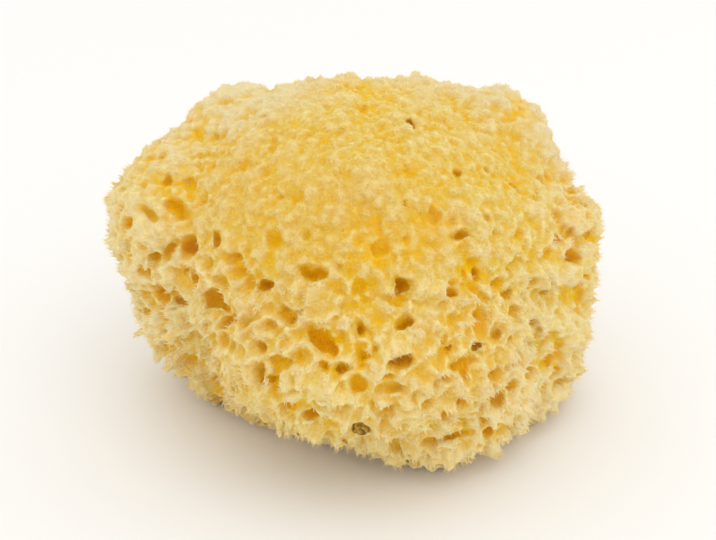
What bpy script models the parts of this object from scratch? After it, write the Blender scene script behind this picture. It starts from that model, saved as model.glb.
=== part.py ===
"""Natural bath sponge: lobes grown together, pitted by pores, cut flat underneath.

Metres, +Z up. X runs along the length and -Y is the front. The origin is the middle
of the bounding box, at the height of the flat cut on which the sponge rests.
"""

import math
import random

import bmesh
import bpy
from mathutils import Matrix, Vector, noise
from mathutils.bvhtree import BVHTree
from mathutils.kdtree import KDTree

MM = 0.001

# Each lobe is an egg: middle (x, y, z) and half sizes (x, y, z) in mm, turn about Z in degrees.
LOBES = {
    "crown": ((0, 6, 51), (55, 52, 46), 0),
    "waist": ((0, 8, 54), (63, 44, 34), 0),
    "brow": ((3, 24, 64), (57, 30, 30.5), 0),
    "left ear": ((-49, 12, 56.5), (22.5, 28, 25.2), 0),
    "left flank": ((-43, 10, 35), (23, 26, 27), 0),
    "right ear": ((51, 12, 48.5), (20.5, 28, 22), 0),
    "right flank": ((47.5, 6, 31), (20, 28, 26), 0),
    "chin": ((19.5, -19, 24), (31, 27, 28), 0),
    "belly": ((2, -24, 40), (44, 34, 27), 0),
    "top left": ((-34, 28, 69.5), (21, 22, 21.5), 0),
    "top right": ((38.5, 26, 68), (20.5, 24, 23), 0),
    "foot left": ((-20, 8.5, 13), (46, 29, 21), -38),
    "foot right": ((36, 2, 13), (34, 26, 20), 34),
    "foot back": ((4, 26, 16), (44, 28, 22), 0),
}

# The front pores are listed as seen from a point in front of and above the sponge.
SIGHT_HEIGHT = 30
SIGHT_DISTANCE = 475
SIGHT_TARGET = (0, -2, 48)

# Right of and above the sight line, width, height, turn in degrees and depth, in mm.
FRONT_PORES = [
    (-31.5, 37.5, 4.5, 3.9, 0, 2), (28, 26.5, 2.5, 2.5, 0, 4), (-53.5, 25, 2.8, 3.9, 0, 5),
    (-47, 23.5, 3.4, 3.4, 0, 4), (-42.5, 19.5, 2.5, 2.8, 0, 4), (-50.5, 17, 7.3, 3.9, -35, 8),
    (20.5, 15.5, 3.4, 4.5, 0, 7), (35.5, 14, 2.8, 2.5, 0, 4), (-64, 12.5, 4.5, 3.9, 0, 5),
    (29, 10, 5.1, 2.8, 20, 5), (-39.5, 9, 2.5, 3.9, 0, 9), (55, 8.5, 2.5, 3.1, 0, 7),
    (-46.5, 6.5, 5.1, 5.1, 0, 10), (-53, 5, 2.5, 5.6, -25, 7), (60, 4, 4.5, 3.7, 0, 7),
    (-57, 3.5, 4.5, 3.7, 0, 6), (-35, 3.5, 4.2, 4.8, 0, 7), (-33.5, -0.5, 3.9, 3.4, 0, 6),
    (-13, -1, 6.2, 3.9, 0, 8), (-45.5, -3, 4.2, 4.5, 0, 10), (-26, -4, 4.2, 2.5, 10, 10),
    (12, -5, 3.9, 3.9, 0, 11), (-54, -6, 3.9, 3.9, 0, 8), (26, -6.5, 3.9, 2.5, 0, 5),
    (-48.5, -8, 4.5, 2.8, 0, 3), (-40.5, -8, 5.6, 5.3, 0, 11), (-37, -10.5, 3.9, 2.5, 0, 9),
    (-35.5, -15, 6.2, 2.8, 0, 3), (13.5, -15, 5.1, 3.1, 35, 11), (-0.5, -17.5, 2.8, 2.8, 0, 5),
    (-36.5, -19.5, 4.5, 3.4, 0, 4), (-10.5, -20, 8.4, 3.9, -45, 12), (-5, -20, 2.8, 5.1, 10, 3),
    (-27.5, -21, 3.4, 2.8, 0, 6), (-8, -22, 3.9, 3.4, -30, 12), (54, -25, 6.7, 3.9, 20, 5),
    (-21.5, -25.5, 5.6, 3.4, 0, 3), (12, -25.5, 6.2, 2.5, 15, 11), (30, -25.5, 7.3, 2.5, 20, 8),
    (30.5, -28.5, 2.5, 5.1, 0, 6), (46.5, -28.5, 3.4, 2.8, 0, 6), (-23, -30.5, 2.8, 3.4, 0, 5),
    (-38, -32, 3.9, 2.8, 0, 5), (42.5, -32, 2.8, 2.8, 0, 6), (0, -32.5, 5.1, 4.5, 0, 6),
    (-34, -33, 3.4, 3.4, 0, 6), (9.5, -33, 7.3, 2.8, 0, 4), (38.5, -35.5, 4.2, 3.9, 0, 10),
    (-19, -37.5, 3.9, 2.8, 0, 6), (28, -37.5, 2.8, 3.9, 0, 4), (-27.5, -38, 6.2, 3.4, -10, 3),
    (-12.5, -40, 3.9, 2.8, 0, 5), (23.5, -41, 5.6, 3.9, 10, 6), (42, -42, 3.4, 2.8, 0, 6),
    (1, -44, 5.1, 5.1, 0, 6), (36.5, -44.5, 4.8, 4.8, 0, 9), (10, -46, 3.7, 3.4, 0, 7),
]

# Pores elsewhere: a seeded scatter over the coarse skin, sizes in mm.
PORE_SPACING = 9.8
PORE_WIDTH = (3.0, 5.0)
PORE_STRETCH = (0.75, 1.2)
PORE_DEPTH = (5, 10)
PORE_LEAN = 0.35
PORE_LOWEST = 4
PORE_TRIES = 6000
SEED = 7

# Canals laid open by the flat cut: a jittered grid in mm, clear of the rim and of the
# solid land round the point that the sponge is said to rest on.
CANAL_SPACING = 12
CANAL_JITTER = 3.5
CANAL_WIDTH = (3.0, 6.5)
CANAL_DEPTH = (6, 11)
CANAL_RIM = 5
REST_POINT = (4, 8)
REST_LAND = 8

# A pore's bore: how far above the skin it starts, how wide there, then place along its
# depth and share of its width, down to its floor.
BORE_START = 5
BORE_START_WIDTH = 1.7
BORE_PROFILE = [(0.0, 1.3), (0.3, 1.1), (0.7, 0.9), (1.0, 0.5)]
BORE_SIDES = 8
BORE_RAGGED = 0.12
BORE_BEND = 0.25

# Grids and rounding with which the lobes grow together, in mm.
GROWTH_GRID = 2.5
GROWTH_ROUNDING = 22
SKIN_GRID = 1.0
BORE_GRID = 0.6

# Relief in mm: wide lumps, ridges on the walls between pores, and low tufts.
LUMP_SIZE = 13.0
LUMP_HEIGHT = 1.8
RIDGE_REACH = 4.2
RIDGE_HEIGHT = 3.0
SKIN_INSET = 3.4
TUFT_SIZE = 4.5
TUFT_HEIGHT = 1.0

# The top is a fine felt: heights in mm where it starts and is full, and its share of a ridge.
FELT_FROM = 64
FELT_FULL = 72
FELT_LIFT = 0.8

FACES = 9900
COLOUR = (0.76, 0.50, 0.14)
ROUGHNESS = 0.9


def clear_scene():
    for item in list(bpy.data.objects):
        bpy.data.objects.remove(item)


def put_in_scene(name, mesh):
    item = bpy.data.objects.new(name, mesh)
    bpy.context.scene.collection.objects.link(item)
    return item


def as_mesh(name, bm):
    mesh = bpy.data.meshes.new(name)
    bm.to_mesh(mesh)
    bm.free()
    return mesh


def taken_mesh(item):
    """The object's mesh with its modifiers applied; the object itself goes."""
    graph = bpy.context.evaluated_depsgraph_get()
    mesh = bpy.data.meshes.new_from_object(item.evaluated_get(graph))
    bpy.data.objects.remove(item)
    return mesh


def as_guide(item):
    item.hide_render = True
    item.display_type = "WIRE"
    return item


def add_remesh(item, grid):
    step = item.modifiers.new("Remesh", "REMESH")
    step.mode = "VOXEL"
    step.voxel_size = grid * MM


def add_boolean(item, operation, other):
    step = item.modifiers.new("Boolean", "BOOLEAN")
    step.operation = operation
    step.solver = "EXACT"
    step.object = other


def clamp01(value):
    return min(max(value, 0.0), 1.0)


def raised(mesh, height):
    """Moves each vertex along its normal by height(place) in mm."""
    moves = [vertex.normal * height(vertex.co) * MM for vertex in mesh.vertices]
    for vertex, move in zip(mesh.vertices, moves):
        vertex.co += move
    return mesh


def grown_body():
    """The lobes as eggs, fused on a grid, rounded where they meet and made lumpy."""
    bm = bmesh.new()
    for middle, half, turn in LOBES.values():
        place = Matrix.Translation(Vector(middle) * MM)
        place @= Matrix.Rotation(math.radians(turn), 4, "Z")
        place @= Matrix.Diagonal((*(size * MM for size in half), 1))
        bmesh.ops.create_icosphere(bm, subdivisions=4, radius=1, matrix=place)
    item = put_in_scene("lobes", as_mesh("lobes", bm))
    add_remesh(item, GROWTH_GRID)
    smooth = item.modifiers.new("Smooth", "SMOOTH")
    smooth.factor = 0.5
    smooth.iterations = GROWTH_ROUNDING

    def lumps(place):
        return noise.fractal(place / (LUMP_SIZE * MM), 0.6, 2.0, 2) * LUMP_HEIGHT - SKIN_INSET

    return raised(taken_mesh(item), lumps)


def felt_share(place):
    """0 on the coarse skin of the sides, 1 on the fine felt of the top."""
    return clamp01((place.z / MM - FELT_FROM) / (FELT_FULL - FELT_FROM))


def front_pores(tree):
    """Each listed pore, where its sight line meets the skin."""
    rise = math.radians(SIGHT_HEIGHT)
    back = Vector((0, -math.cos(rise), math.sin(rise)))
    right = Vector((1, 0, 0))
    up = back.cross(right)
    target = Vector(SIGHT_TARGET) * MM
    eye = target + back * SIGHT_DISTANCE * MM
    found = []
    for across, above, width, height, turn, depth in FRONT_PORES:
        ray = (target + (right * across + up * above) * MM - eye).normalized()
        place, normal, _, _ = tree.ray_cast(eye, ray)
        if place is None:
            continue
        axis = (ray - normal).normalized()
        side = (right - axis * right.dot(axis)).normalized()
        side.rotate(Matrix.Rotation(-math.radians(turn), 3, axis))
        found.append((place, axis, side, width * MM, height * MM, depth * MM))
    return found


def scattered_pores(tree, taken, rng):
    """A seeded scatter over the coarse skin, clear of the pores in taken."""
    middle = Vector((0, 5, 45)) * MM
    outside = 200 * MM
    places = [pore[0] for pore in taken]
    found = []
    for _ in range(PORE_TRIES):
        ray = Vector((rng.gauss(0, 1), rng.gauss(0, 1), rng.gauss(0, 1))).normalized()
        lean = Vector((rng.uniform(-1, 1), rng.uniform(-1, 1), rng.uniform(-1, 1)))
        width = rng.uniform(*PORE_WIDTH) * MM
        height = rng.uniform(*PORE_STRETCH) * width
        depth = rng.uniform(*PORE_DEPTH) * MM
        place, normal, _, _ = tree.ray_cast(middle + ray * outside, -ray)
        if place is None or place.z < PORE_LOWEST * MM or rng.random() < felt_share(place):
            continue
        if any((place - other).length < PORE_SPACING * MM for other in places):
            continue
        axis = (lean * PORE_LEAN - normal).normalized()
        found.append((place, axis, axis.orthogonal().normalized(), width, height, depth))
        places.append(place)
    return found


def base_canals(tree, rng):
    """The canals of the flat cut that fall inside its outline."""
    rest = Vector((*REST_POINT, 0)) * MM
    cells = range(-5, 6)
    found = []
    for column, row in ((i, j) for i in cells for j in cells):
        x = column * CANAL_SPACING + rng.uniform(-CANAL_JITTER, CANAL_JITTER)
        y = row * CANAL_SPACING + rng.uniform(-CANAL_JITTER, CANAL_JITTER)
        width = rng.uniform(*CANAL_WIDTH) * MM
        height = rng.uniform(*PORE_STRETCH) * width
        depth = rng.uniform(*CANAL_DEPTH) * MM
        axis = Vector((rng.uniform(-1, 1), rng.uniform(-1, 1), 3)).normalized()
        place = Vector((x, y, 0)) * MM
        probe = place + Vector((0, 0, CANAL_RIM)) * MM
        skin, normal, _, far = tree.find_nearest(probe)
        outside = (probe - skin).dot(normal) > 0
        if outside or far < CANAL_RIM * MM or (place - rest).length < REST_LAND * MM:
            continue
        found.append((place, axis, axis.orthogonal().normalized(), width, height, depth))
    return found


def add_bore(bm, pore, rng):
    """A closed funnel that starts above the skin and bends a little as it goes in."""
    place, axis, side, width, height, depth = pore
    across = axis.cross(side)
    bend = (side * rng.uniform(-1, 1) + across * rng.uniform(-1, 1)) * depth * BORE_BEND
    steps = [(-BORE_START * MM, 0, BORE_START_WIDTH)]
    steps += [(depth * share, share ** 2, scale) for share, scale in BORE_PROFILE]
    rings = []
    for along, bent, scale in steps:
        middle = place + axis * along + bend * bent
        ring = []
        for k in range(BORE_SIDES):
            angle = math.tau * k / BORE_SIDES
            reach = 0.5 * scale * rng.uniform(1 - BORE_RAGGED, 1 + BORE_RAGGED)
            offset = side * math.cos(angle) * width + across * math.sin(angle) * height
            ring.append(bm.verts.new(middle + offset * reach))
        rings.append(ring)
    for outer, inner in zip(rings, rings[1:]):
        for k in range(BORE_SIDES):
            n = (k + 1) % BORE_SIDES
            bm.faces.new((outer[k], outer[n], inner[n], inner[k]))
    bm.faces.new(rings[0][::-1])
    bm.faces.new(rings[-1])


def bores(pores, rng):
    """All the pores' bores as one closed guide, fused where they run together."""
    bm = bmesh.new()
    for pore in pores:
        add_bore(bm, pore, rng)
    bmesh.ops.recalc_face_normals(bm, faces=bm.faces)
    item = put_in_scene("bores", as_mesh("bores", bm))
    add_remesh(item, BORE_GRID)
    return as_guide(item)


def raised_skin(body, pores):
    """A finer skin whose walls rise to ridges and peaks between the pores."""
    item = put_in_scene("skin", body)
    add_remesh(item, SKIN_GRID)
    near = KDTree(len(pores))
    for k, pore in enumerate(pores):
        near.insert(pore[0], k)
    near.balance()

    def relief(place):
        gap = min(far - 0.5 * max(pores[k][3:5]) for _, k, far in near.find_n(place, 4))
        felt = felt_share(place)
        wall = felt * FELT_LIFT + (1 - felt) * clamp01(gap / (RIDGE_REACH * MM))
        tuft = noise.fractal(place / (TUFT_SIZE * MM), 0.8, 2.0, 2)
        return wall * RIDGE_HEIGHT + tuft * TUFT_HEIGHT

    return raised(taken_mesh(item), relief)


def keep_largest_body(mesh):
    """Drops crumbs that the bores cut loose."""
    bm = bmesh.new()
    bm.from_mesh(mesh)
    seen = set()
    bodies = []
    for start in bm.verts:
        if start in seen:
            continue
        seen.add(start)
        body = [start]
        for vert in body:
            for edge in vert.link_edges:
                other = edge.other_vert(vert)
                if other not in seen:
                    seen.add(other)
                    body.append(other)
        bodies.append(body)
    bodies.sort(key=len)
    for body in bodies[:-1]:
        bmesh.ops.delete(bm, geom=body, context="VERTS")
    bm.to_mesh(mesh)
    bm.free()


def space_above_cut():
    """A block that holds all of the sponge over the plane where it was cut off."""
    bm = bmesh.new()
    place = Matrix.Translation((0, 0, 0.1)) @ Matrix.Diagonal((0.3, 0.3, 0.2, 1))
    bmesh.ops.create_cube(bm, size=1, matrix=place)
    return as_guide(put_in_scene("space above cut", as_mesh("space above cut", bm)))


def sponge_material():
    material = bpy.data.materials.new("sponge")
    material.use_nodes = True
    shader = material.node_tree.nodes["Principled BSDF"]
    shader.inputs["Base Color"].default_value = (*COLOUR, 1)
    shader.inputs["Roughness"].default_value = ROUGHNESS
    shader.inputs["Metallic"].default_value = 0
    return material


def main():
    clear_scene()
    rng = random.Random(SEED)
    body = grown_body()
    tree = BVHTree.FromPolygons(
        [vertex.co for vertex in body.vertices],
        [face.vertices for face in body.polygons],
    )
    pores = front_pores(tree)
    pores += scattered_pores(tree, pores, rng)

    item = put_in_scene("pitted", raised_skin(body, pores))
    guide = bores(pores + base_canals(tree, rng), rng)
    add_boolean(item, "DIFFERENCE", guide)
    add_remesh(item, SKIN_GRID)
    skin = taken_mesh(item)
    bpy.data.objects.remove(guide)
    keep_largest_body(skin)

    item = put_in_scene("thinned", skin)
    skin.calc_loop_triangles()
    step = item.modifiers.new("Decimate", "DECIMATE")
    step.ratio = FACES / len(skin.loop_triangles)
    guide = space_above_cut()
    add_boolean(item, "INTERSECT", guide)
    mesh = taken_mesh(item)
    bpy.data.objects.remove(guide)
    keep_largest_body(mesh)

    mesh.name = "sponge"
    mesh.shade_smooth()
    mesh.materials.clear()
    mesh.materials.append(sponge_material())
    put_in_scene("sponge", mesh)


main()
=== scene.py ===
import math
import random
import time
from functools import partial

import bpy
import bmesh
from mathutils import Matrix, Vector, noise
from mathutils.bvhtree import BVHTree


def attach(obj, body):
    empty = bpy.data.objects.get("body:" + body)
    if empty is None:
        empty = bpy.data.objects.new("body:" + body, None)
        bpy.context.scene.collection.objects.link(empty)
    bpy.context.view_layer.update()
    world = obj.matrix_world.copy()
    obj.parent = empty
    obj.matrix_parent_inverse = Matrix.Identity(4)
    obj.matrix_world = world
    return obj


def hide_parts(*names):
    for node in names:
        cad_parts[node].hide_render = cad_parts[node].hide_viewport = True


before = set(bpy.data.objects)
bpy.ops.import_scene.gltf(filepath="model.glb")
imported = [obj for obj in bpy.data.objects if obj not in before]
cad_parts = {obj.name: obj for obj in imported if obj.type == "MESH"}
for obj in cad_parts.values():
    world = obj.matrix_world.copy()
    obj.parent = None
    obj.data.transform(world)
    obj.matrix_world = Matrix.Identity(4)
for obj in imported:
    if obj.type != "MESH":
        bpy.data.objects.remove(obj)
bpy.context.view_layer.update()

# The dressed bath sponge. Lengths in the dictionaries are in mm; the ones times mm go straight to a tree.
mm = 0.001
startTime = time.time()


def tell(stage):
    print(f"[{time.time() - startTime:6.1f} s] {stage}")


def socketOf(sockets, key):
    # a socket by its index, or the one in use that has this name
    if isinstance(key, int):
        return sockets[key]
    return next(socket for socket in sockets if socket.enabled and socket.name == key)


def sourceOf(value):
    # the output that a value stands for, or nothing where it is a plain setting
    if isinstance(value, tuple) and isinstance(value[0], bpy.types.Node):
        return socketOf(value[0].outputs, value[1])
    if isinstance(value, bpy.types.Node):
        return next(socket for socket in value.outputs if socket.enabled)
    return None


def setInputs(node, values):
    # by socket, each a plain value, a node to link, or (node, output name)
    for key, value in values.items():
        source = sourceOf(value)
        if source is None:
            socketOf(node.inputs, key).default_value = value
        else:
            node.id_data.links.new(source, socketOf(node.inputs, key))


def addNode(tree, kind, *inputs, **settings):
    # inputs go in their order, with a dictionary for those by name; settings are the node's own options
    node = tree.nodes.new(kind)
    for name, value in settings.items():
        setattr(node, name, value)
    for index, value in enumerate(inputs):
        setInputs(node, value if isinstance(value, dict) else {index: value})
    return node


socketKinds = {bool: "Bool", int: "Int", float: "Float", tuple: "Vector"}


def newTree(name, inputs):
    # a tree with a mesh going in and out, and a named input for each value or kind of value
    tree = bpy.data.node_groups.new(name, "GeometryNodeTree")
    for label, value in {"Geometry": "Geometry", **inputs}.items():
        kind = value if isinstance(value, str) else socketKinds[type(value)]
        tree.interface.new_socket(label, in_out="INPUT", socket_type="NodeSocket" + kind)
    tree.interface.new_socket("Geometry", in_out="OUTPUT", socket_type="NodeSocketGeometry")
    return tree, partial(addNode, tree), tree.nodes.new("NodeGroupInput")


def endTree(tree, geometry):
    addNode(tree, "NodeGroupOutput", geometry)
    return tree


def useTree(item, tree, values):
    # a modifier that runs the tree, its inputs set by their identifiers
    step = item.modifiers.new(tree.name, "NODES")
    step.node_group = tree
    for socket in tree.interface.items_tree:
        if socket.in_out == "INPUT" and socket.name in values:
            step[socket.identifier] = values[socket.name]


def addModifier(item, kind, **settings):
    step = item.modifiers.new(kind.title(), kind)
    for name, value in settings.items():
        setattr(step, name, value)


def putInScene(name, mesh):
    item = bpy.data.objects.new(name, mesh)
    bpy.context.scene.collection.objects.link(item)
    return item


def finalMesh(item):
    # the mesh after its modifiers; the object itself goes
    graph = bpy.context.evaluated_depsgraph_get()
    mesh = bpy.data.meshes.new_from_object(item.evaluated_get(graph))
    bpy.data.objects.remove(item)
    return mesh


def shapeMesh(name, shape, **settings):
    # a mesh with one of bmesh's own shapes
    bm = bmesh.new()
    shape(bm, **settings)
    mesh = bpy.data.meshes.new(name)
    bm.to_mesh(mesh)
    bm.free()
    return mesh


def pointMesh(name, places, values):
    # loose points that carry vectors for a tree to read
    mesh = bpy.data.meshes.new(name)
    mesh.from_pydata(places, [], [])
    for label, vectors in values.items():
        layer = mesh.attributes.new(label, "FLOAT_VECTOR", "POINT")
        layer.data.foreach_set("vector", [part for vector in vectors for part in vector])
    return mesh


def surfaceOf(mesh):
    # for casting rays at it
    return BVHTree.FromPolygons([v.co for v in mesh.vertices], [f.vertices for f in mesh.polygons])


def countTriangles(mesh):
    mesh.calc_loop_triangles()
    return len(mesh.loop_triangles)


# Growth: each lobe is an egg, with its middle, its half sizes and its turn about Z in degrees.
growth = {
    "lobes": {
        "crown": ((0, 6, 51), (55, 52, 46), 0),
        "waist": ((0, 8, 54), (63, 44, 34), 0),
        "brow": ((3, 24, 64), (57, 30, 30.5), 0),
        "left ear": ((-49, 12, 56.5), (22.5, 28, 25.2), 0),
        "left flank": ((-43, 10, 35), (23, 26, 27), 0),
        "right ear": ((51, 12, 48.5), (20.5, 28, 22), 0),
        "right flank": ((47.5, 6, 31), (20, 28, 26), 0),
        "chin": ((19.5, -19, 24), (31, 27, 28), 0),
        "belly": ((2, -24, 40), (44, 34, 27), 0),
        "top left": ((-34, 28, 69.5), (21, 22, 21.5), 0),
        "top right": ((38.5, 26, 68), (20.5, 24, 23), 0),
        "foot left": ((-20, 8.5, 13), (46, 29, 21), -38),
        "foot right": ((36, 2, 13), (34, 26, 20), 34),
        "foot back": ((4, 26, 16), (44, 28, 22), 0),
    },
    "grid": 2.5,
    "rounding": 22,  # smoothing steps where the lobes meet
    "lumpSize": 13.0, "lumpHeight": 1.8,
    "lumpNoise": (0.6, 2.0, 2),  # how fast its octaves fade, their step in size, and how many
    "inset": 3.4,  # the body lies this far inside, and the ridges rise from it
}


def lobeTree():
    tree, add, given = newTree("Lobes", {})
    half, turn = (
        add("GeometryNodeInputNamedAttribute", name, data_type="FLOAT_VECTOR")
        for name in ("half", "turn"))
    spin = add("FunctionNodeEulerToRotation", turn)
    egg = add("GeometryNodeMeshIcoSphere", {"Subdivisions": 4})
    eggs = add("GeometryNodeInstanceOnPoints", given, {"Instance": egg, "Rotation": spin, "Scale": half})
    return endTree(tree, add("GeometryNodeRealizeInstances", eggs))


def growEnvelope():
    # the lobes fused on a grid and rounded where they meet
    middles, halves, turns = zip(*growth["lobes"].values())
    item = putInScene("lobes", pointMesh("lobes", [Vector(middle) * mm for middle in middles], {
        "half": [Vector(half) * mm for half in halves],
        "turn": [(0, 0, math.radians(turn)) for turn in turns]}))
    useTree(item, lobeTree(), {})
    addModifier(item, "REMESH", mode="VOXEL", voxel_size=growth["grid"] * mm)
    addModifier(item, "SMOOTH", factor=0.5, iterations=growth["rounding"])
    return finalMesh(item)


def makeLumpy(mesh):
    # the same wide lumps as the solid has
    moves = []
    for vertex in mesh.vertices:
        wave = noise.fractal(vertex.co / (growth["lumpSize"] * mm), *growth["lumpNoise"])
        moves.append(vertex.normal * (wave * growth["lumpHeight"] - growth["inset"]) * mm)
    for vertex, move in zip(mesh.vertices, moves):
        vertex.co += move
    return mesh


# Sight: where the front is seen from, for the camera and for the places of the front pores.
sight = {"height": 30, "distance": 475, "target": (0, -2, 48), "lens": 85, "film": 36}  # height in degrees


def sightFrame():
    # target, eye, and the unit vectors right and up across the picture
    rise = math.radians(sight["height"])
    back = Vector((0, -math.cos(rise), math.sin(rise)))
    right = Vector((1, 0, 0))
    target = Vector(sight["target"]) * mm
    return target, target + back * sight["distance"] * mm, right, back.cross(right)


def seenOn(surface, across, above):
    # where the sight line through a place in the picture meets the surface, the normal there, and the line
    target, eye, right, up = sightFrame()
    ray = (target + (right * across + up * above) * mm - eye).normalized()
    place, normal, _, _ = surface.ray_cast(eye, ray)
    return place, normal, ray


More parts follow.
